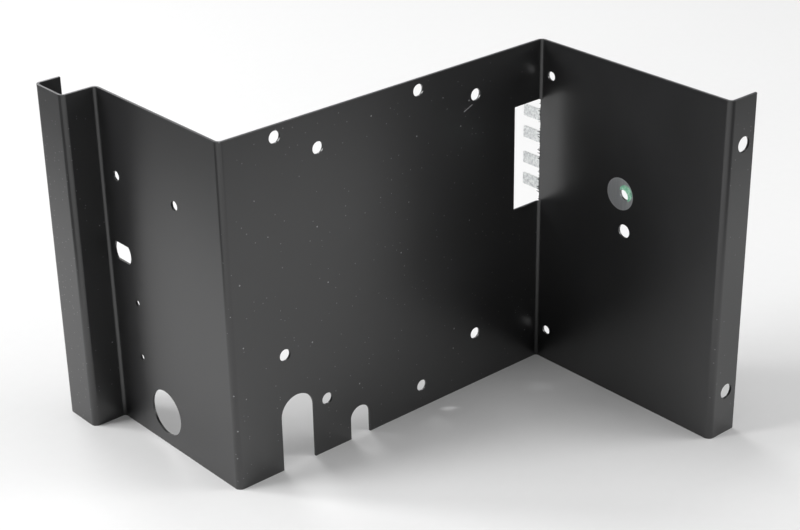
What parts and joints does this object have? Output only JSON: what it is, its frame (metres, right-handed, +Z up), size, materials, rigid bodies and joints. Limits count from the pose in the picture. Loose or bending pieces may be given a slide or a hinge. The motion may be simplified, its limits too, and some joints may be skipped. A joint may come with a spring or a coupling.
{
  "type": "sheet metal chassis",
  "caption": "Folded sheet metal chassis in satin black with square bends, punched mounting holes, cable notches and a contact window.",
  "frame": {"origin": "centre of the overall box, at the height of the standing edge", "axes": "+Z up along the bends, +X along the back wall towards the side wall, -Y towards the front flange"},
  "size_m": [0.1582, 0.1624, 0.12],
  "materials": {
    "coated_sheet": "satin black powder coat on steel, bare metal on the contact fingers and the ground spot"
  },
  "bodies": {
    "root": {"chassis": "coated_sheet"}
  },
  "joints": []
}
